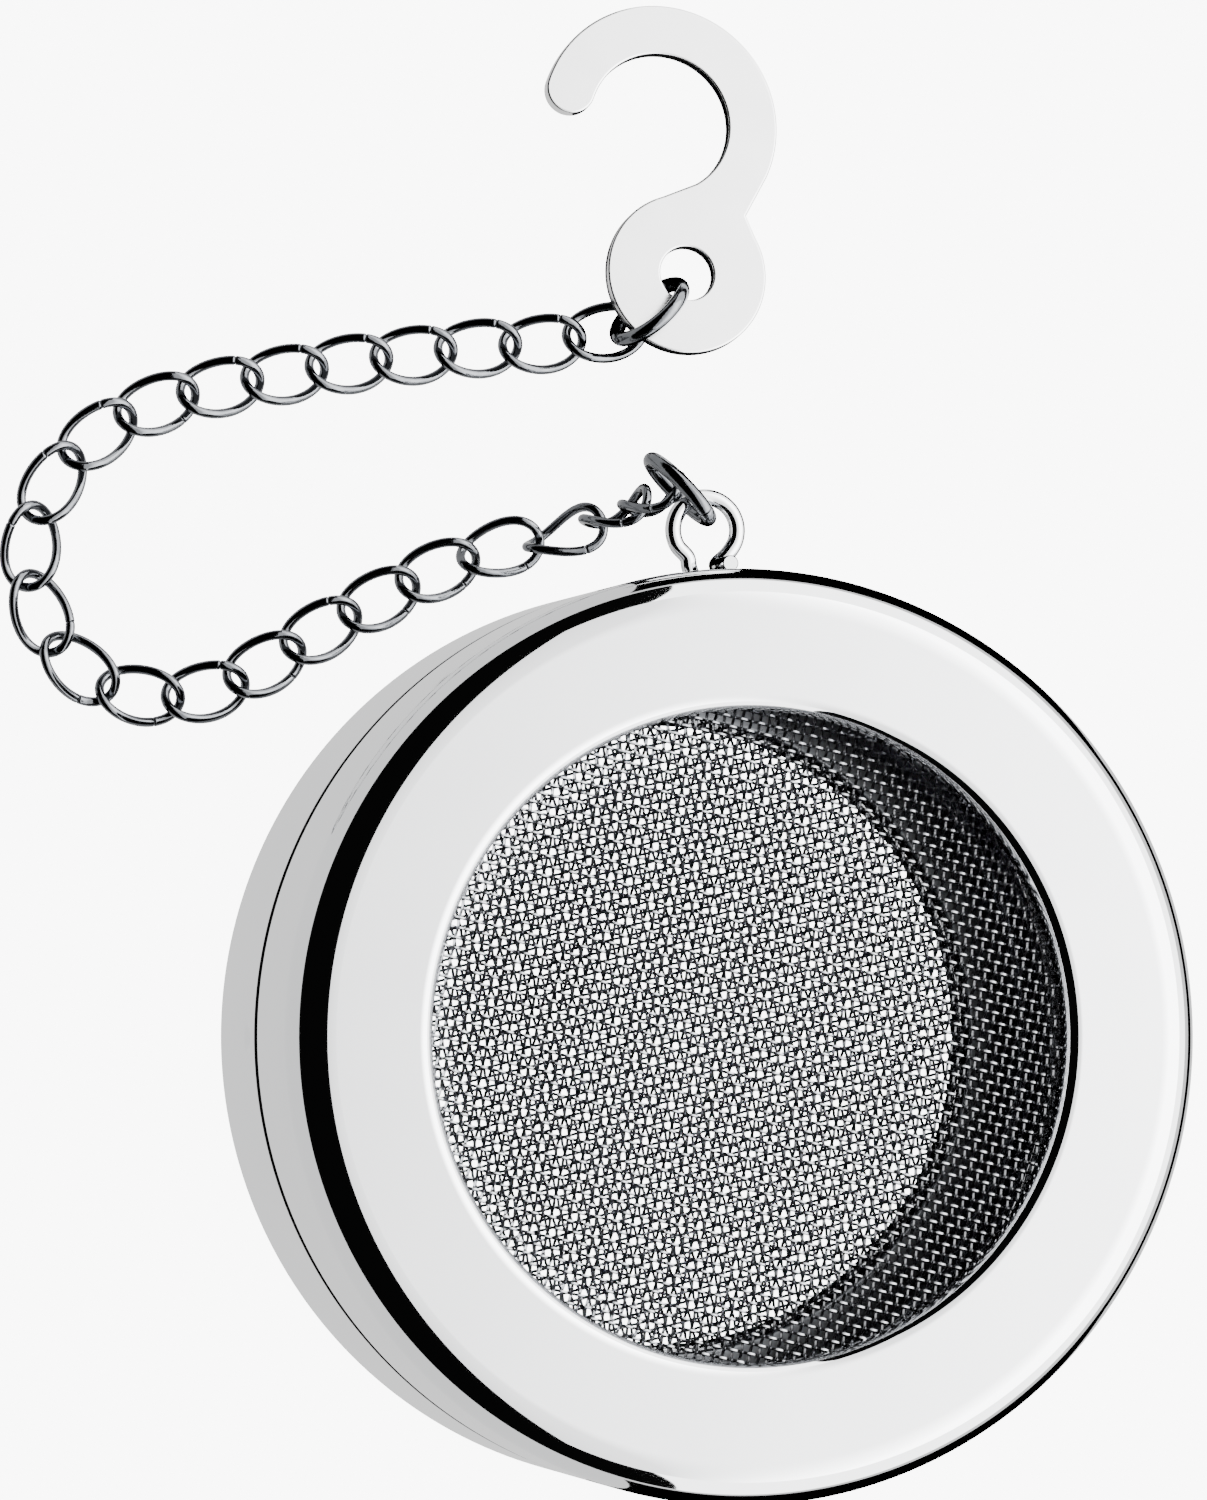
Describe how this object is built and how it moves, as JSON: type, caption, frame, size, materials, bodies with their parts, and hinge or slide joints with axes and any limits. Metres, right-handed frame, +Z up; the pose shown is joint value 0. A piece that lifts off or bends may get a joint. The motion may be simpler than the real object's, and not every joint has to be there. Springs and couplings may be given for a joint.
{
  "type": "tea infuser",
  "caption": "Round drum-shaped tea infuser of two press-together steel cups with woven-wire windows, on a curb-link chain that ends in a flat open hook.",
  "frame": {"origin": "middle of the whole object's footprint, at the height of the drum's back face on the table", "axes": "+Z up along the drum's axis from the back cup to the front cup; +Y from the drum towards the hook; +X completes a right-handed frame"},
  "size_m": [0.0806, 0.108, 0.03],
  "materials": {
    "shell": "mirror-polished stainless steel",
    "wire_cloth": "bright drawn wire, plain weave",
    "inner_ring": "satin stainless strip",
    "chain": "dark bright-plated wire",
    "hook_plate": "satin stamped stainless plate"
  },
  "bodies": {
    "back_half": {"back_shell": "shell", "back_mesh": "wire_cloth", "back_mesh_ring": "inner_ring", "chain_eye": "shell"},
    "front_half": {"front_shell": "shell", "front_mesh": "wire_cloth", "front_mesh_ring": "inner_ring", "front_collar": "inner_ring"},
    "eye_ring": {"eye_ring": "chain"},
    "chain_link_01": {"chain_link_01": "chain"},
    "chain_link_02": {"chain_link_02": "chain"},
    "chain_link_03": {"chain_link_03": "chain"},
    "chain_link_04": {"chain_link_04": "chain"},
    "chain_link_05": {"chain_link_05": "chain"},
    "chain_link_06": {"chain_link_06": "chain"},
    "chain_link_07": {"chain_link_07": "chain"},
    "chain_link_08": {"chain_link_08": "chain"},
    "chain_link_09": {"chain_link_09": "chain"},
    "chain_link_10": {"chain_link_10": "chain"},
    "chain_link_11": {"chain_link_11": "chain"},
    "chain_link_12": {"chain_link_12": "chain"},
    "chain_link_13": {"chain_link_13": "chain"},
    "chain_link_14": {"chain_link_14": "chain"},
    "chain_link_15": {"chain_link_15": "chain"},
    "chain_link_16": {"chain_link_16": "chain"},
    "chain_link_17": {"chain_link_17": "chain"},
    "chain_link_18": {"chain_link_18": "chain"},
    "chain_link_19": {"chain_link_19": "chain"},
    "chain_link_20": {"chain_link_20": "chain"},
    "chain_link_21": {"chain_link_21": "chain"},
    "chain_link_22": {"chain_link_22": "chain"},
    "chain_link_23": {"chain_link_23": "chain"},
    "hook_ring": {"hook_ring": "chain"},
    "hook": {"hook": "hook_plate"}
  },
  "joints": [
    {"name": "front_half_lift", "type": "slide", "parent": "back_half", "child": "front_half", "axis": [0, 0, 1], "range_m": [0, 0.025]},
    {"name": "eye_ring_swing", "type": "hinge", "parent": "back_half", "child": "eye_ring", "pos_m": [0.00824, 0.01447, 0.015], "axis": [0, 0, 1], "range_deg": [-45, 5]},
    {"name": "chain_link_01_turn", "type": "hinge", "parent": "eye_ring", "child": "chain_link_01", "pos_m": [0.0063, 0.01777, 0.01209], "axis": [0.4163, -0.9075, 0.0559], "range_deg": [-30, 30]},
    {"name": "chain_link_02_lift", "type": "hinge", "parent": "chain_link_01", "child": "chain_link_02", "pos_m": [0.00483, 0.01667, 0.00838], "axis": [-0.7026, -0.4469, 0.5538], "range_deg": [-5, 12]},
    {"name": "chain_link_03_turn", "type": "hinge", "parent": "chain_link_02", "child": "chain_link_03", "pos_m": [0.00241, 0.01563, 0.00448], "axis": [-0.5236, 0.6328, 0.5705], "range_deg": [-35, 5]},
    {"name": "chain_link_04_lift", "type": "hinge", "parent": "chain_link_03", "child": "chain_link_04", "pos_m": [-0.00148, 0.0144, 0.00228], "axis": [0.2301, -0.9372, 0.2623], "range_deg": [-5, 35]},
    {"name": "chain_link_05_turn", "type": "hinge", "parent": "chain_link_04", "child": "chain_link_05", "pos_m": [-0.00604, 0.01307, 0.00152], "axis": [0.0556, 0.0237, -0.9982], "range_deg": [-10, 30]},
    {"name": "chain_link_06_lift", "type": "hinge", "parent": "chain_link_05", "child": "chain_link_06", "pos_m": [-0.01046, 0.01118, 0.00123], "axis": [-0.4579, 0.889, 0], "range_deg": [-30, 30]},
    {"name": "chain_link_07_turn", "type": "hinge", "parent": "chain_link_06", "child": "chain_link_07", "pos_m": [-0.01475, 0.00897, 0.00112], "axis": [-0.0063, -0.0036, 1], "range_deg": [-22, 22]},
    {"name": "chain_link_08_lift", "type": "hinge", "parent": "chain_link_07", "child": "chain_link_08", "pos_m": [-0.01895, 0.00658, 0.00109], "axis": [0.4675, -0.884, 0], "range_deg": [-30, 30]},
    {"name": "chain_link_09_turn", "type": "hinge", "parent": "chain_link_08", "child": "chain_link_09", "pos_m": [-0.02322, 0.00432, 0.00109], "axis": [0.0015, 0.0004, 1], "range_deg": [-15, 30]},
    {"name": "chain_link_10_lift", "type": "hinge", "parent": "chain_link_09", "child": "chain_link_10", "pos_m": [-0.02782, 0.00319, 0.0011], "axis": [0.1763, 0.9843, 0], "range_deg": [-22, 30]},
    {"name": "chain_link_11_turn", "type": "hinge", "parent": "chain_link_10", "child": "chain_link_11", "pos_m": [-0.03244, 0.00402, 0.0011], "axis": [0, 0, -1], "range_deg": [-32, 0]},
    {"name": "chain_link_12_lift", "type": "hinge", "parent": "chain_link_11", "child": "chain_link_12", "pos_m": [-0.03604, 0.00695, 0.0011], "axis": [0.9301, 0.3672, 0], "range_deg": [-18, 26]},
    {"name": "chain_link_13_turn", "type": "hinge", "parent": "chain_link_12", "child": "chain_link_13", "pos_m": [-0.03776, 0.01132, 0.0011], "axis": [0, 0, -1], "range_deg": [-35, 0]},
    {"name": "chain_link_14_lift", "type": "hinge", "parent": "chain_link_13", "child": "chain_link_14", "pos_m": [-0.03729, 0.01598, 0.0011], "axis": [-0.8546, 0.5194, 0], "range_deg": [-30, 30]},
    {"name": "chain_link_15_turn", "type": "hinge", "parent": "chain_link_14", "child": "chain_link_15", "pos_m": [-0.03483, 0.02002, 0.0011], "axis": [0, 0, -1], "range_deg": [-30, 9]},
    {"name": "chain_link_16_lift", "type": "hinge", "parent": "chain_link_15", "child": "chain_link_16", "pos_m": [-0.03106, 0.02291, 0.0011], "axis": [0.3713, -0.9285, 0], "range_deg": [-30, 30]},
    {"name": "chain_link_17_turn", "type": "hinge", "parent": "chain_link_16", "child": "chain_link_17", "pos_m": [-0.0266, 0.02469, 0.0011], "axis": [0, 0, -1], "range_deg": [-30, 12]},
    {"name": "chain_link_18_lift", "type": "hinge", "parent": "chain_link_17", "child": "chain_link_18", "pos_m": [-0.02191, 0.02584, 0.0011], "axis": [-0.1925, 0.9813, 0], "range_deg": [-30, 30]},
    {"name": "chain_link_19_turn", "type": "hinge", "parent": "chain_link_18", "child": "chain_link_19", "pos_m": [-0.01717, 0.02677, 0.0011], "axis": [-0.0013, -0.0002, -1], "range_deg": [-30, 15]},
    {"name": "chain_link_20_lift", "type": "hinge", "parent": "chain_link_19", "child": "chain_link_20", "pos_m": [-0.0124, 0.02757, 0.00109], "axis": [0.1359, -0.9907, 0], "range_deg": [-30, 30]},
    {"name": "chain_link_21_turn", "type": "hinge", "parent": "chain_link_20", "child": "chain_link_21", "pos_m": [-0.00762, 0.02822, 0.00109], "axis": [-0.01, -0.001, 0.9999], "range_deg": [-25, 30]},
    {"name": "chain_link_22_lift", "type": "hinge", "parent": "chain_link_21", "child": "chain_link_22", "pos_m": [-0.00282, 0.02872, 0.00114], "axis": [0.1357, -0.9907, 0], "range_deg": [-30, 30]},
    {"name": "chain_link_23_turn", "type": "hinge", "parent": "chain_link_22", "child": "chain_link_23", "pos_m": [0.00195, 0.02937, 0.00128], "axis": [-0.0379, -0.0073, 0.9993], "range_deg": [-30, 30]},
    {"name": "hook_ring_roll", "type": "hinge", "parent": "chain_link_23", "child": "hook_ring", "pos_m": [0.00706, 0.03123, 0.00349], "axis": [-0.6645, 0.7011, 0.2587], "range_deg": [-18, 35]},
    {"name": "hook_swivel", "type": "hinge", "parent": "hook_ring", "child": "hook", "pos_m": [0.00987, 0.03402, 0.00314], "axis": [0, -0.1216, -0.9926], "range_deg": [-40, 40]}
  ]
}
